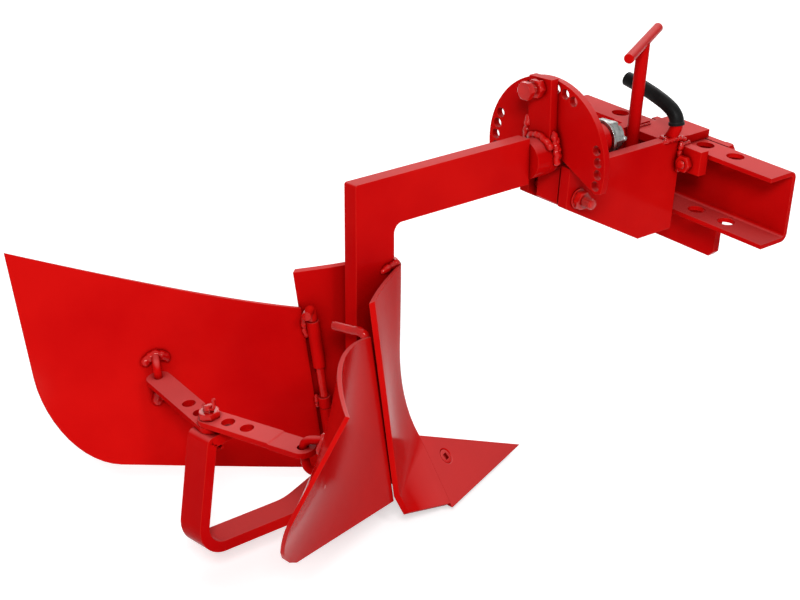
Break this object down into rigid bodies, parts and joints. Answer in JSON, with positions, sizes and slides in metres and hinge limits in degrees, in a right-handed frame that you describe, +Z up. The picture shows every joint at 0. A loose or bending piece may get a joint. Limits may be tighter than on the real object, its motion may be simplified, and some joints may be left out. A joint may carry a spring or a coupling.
{
  "type": "walk behind ridger",
  "caption": "Walk-behind ridging body with hinged wings, curved breast and share on a swivelling shank, with a drawbar channel hitch, index disc, carry handle and T-handled pitch screw.",
  "frame": {"origin": "middle of the row of hitch pin holes on the upper face of the drawbar channel", "axes": "+X in the direction of travel, +Y to the left, +Z up along the hitch pins"},
  "size_m": [0.7691, 0.516, 0.4353],
  "materials": {
    "paint": "glossy red paint",
    "rubber": "matt black rubber",
    "zinc": "zinc plated"
  },
  "bodies": {
    "hitch": {"drawbar_channel": "paint", "top_plate": "paint", "front_plate": "paint", "side_plate_left": "paint", "side_plate_right": "paint", "clamp_lugs": "paint", "clamp_bolts": "zinc", "clamp_nuts": "zinc", "carry_handle": "paint", "handle_grip": "rubber", "pitch_bolt": "paint", "pitch_nut": "paint", "screw_bridge": "paint"},
    "screw": {"adjusting_screw": "paint", "cross_bar": "paint"},
    "carrier": {"swivel_carrier": "paint", "index_disc": "paint"},
    "trunnion": {"trunnion_nut": "zinc"},
    "ridging_body": {"swivel_shaft": "paint", "shaft_washer": "zinc", "castle_nut": "zinc", "cotter_pin": "zinc", "index_strap": "paint", "index_bolt": "paint", "lock_nut": "paint", "shank": "paint", "breast": "paint", "breast_knuckles": "paint", "frog": "paint", "share": "paint", "share_bolts": "paint", "heel_strap": "paint", "pin_foot": "paint", "hinge_pin_left": "paint", "hinge_pin_right": "paint"},
    "left_wing": {"wing_left": "paint", "wing_knuckles_left": "paint", "wing_staple_left": "paint"},
    "right_wing": {"wing_right": "paint", "wing_knuckles_right": "paint", "wing_staple_right": "paint"},
    "left_link": {"link_left": "paint"},
    "right_link": {"link_right": "paint", "link_pin": "paint", "spring_clip": "paint"}
  },
  "joints": [
    {"name": "screw_turn", "type": "hinge", "parent": "hitch", "child": "screw", "pos_m": [-0.077, 0, -0.022], "axis": [0, 0, 1], "range_deg": [-540, 540]},
    {"name": "pitch", "type": "hinge", "parent": "hitch", "child": "carrier", "pos_m": [-0.197, 0, -0.022], "axis": [0, 1, 0], "range_deg": [-3, 3]},
    {"name": "trunnion_tilt", "type": "hinge", "parent": "carrier", "child": "trunnion", "pos_m": [-0.077, 0, -0.022], "axis": [0, 1, 0], "range_deg": [-3, 3]},
    {"name": "swivel", "type": "hinge", "parent": "carrier", "child": "ridging_body", "pos_m": [-0.217, 0, 0.021], "axis": [1, 0, 0], "range_deg": [-95, 105]},
    {"name": "left_wing_swing", "type": "hinge", "parent": "ridging_body", "child": "left_wing", "pos_m": [-0.504, 0.02991, -0.09605], "axis": [-0.1564, 0.0861, 0.9839], "range_deg": [0, 8.5]},
    {"name": "right_wing_swing", "type": "hinge", "parent": "ridging_body", "child": "right_wing", "pos_m": [-0.504, -0.04978, -0.08908], "axis": [-0.1564, 0.0861, 0.9839], "range_deg": [-8.5, 0]},
    {"name": "left_link_turn", "type": "hinge", "parent": "left_wing", "child": "left_link", "pos_m": [-0.63942, 0.09581, -0.1579], "axis": [-0.1564, 0.0861, 0.9839], "range_deg": [-5.53, 0]},
    {"name": "right_link_turn", "type": "hinge", "parent": "right_wing", "child": "right_link", "pos_m": [-0.63942, -0.12542, -0.13855], "axis": [-0.1564, 0.0861, 0.9839], "range_deg": [0, 5.53]}
  ],
  "couplings": [
    {"joint": "pitch", "follows": "screw_turn", "ratio": 0.0055556},
    {"joint": "trunnion_tilt", "follows": "screw_turn", "ratio": -0.0055556},
    {"joint": "left_link_turn", "follows": "left_wing_swing", "ratio": -0.639},
    {"joint": "right_link_turn", "follows": "right_wing_swing", "ratio": -0.639}
  ]
}
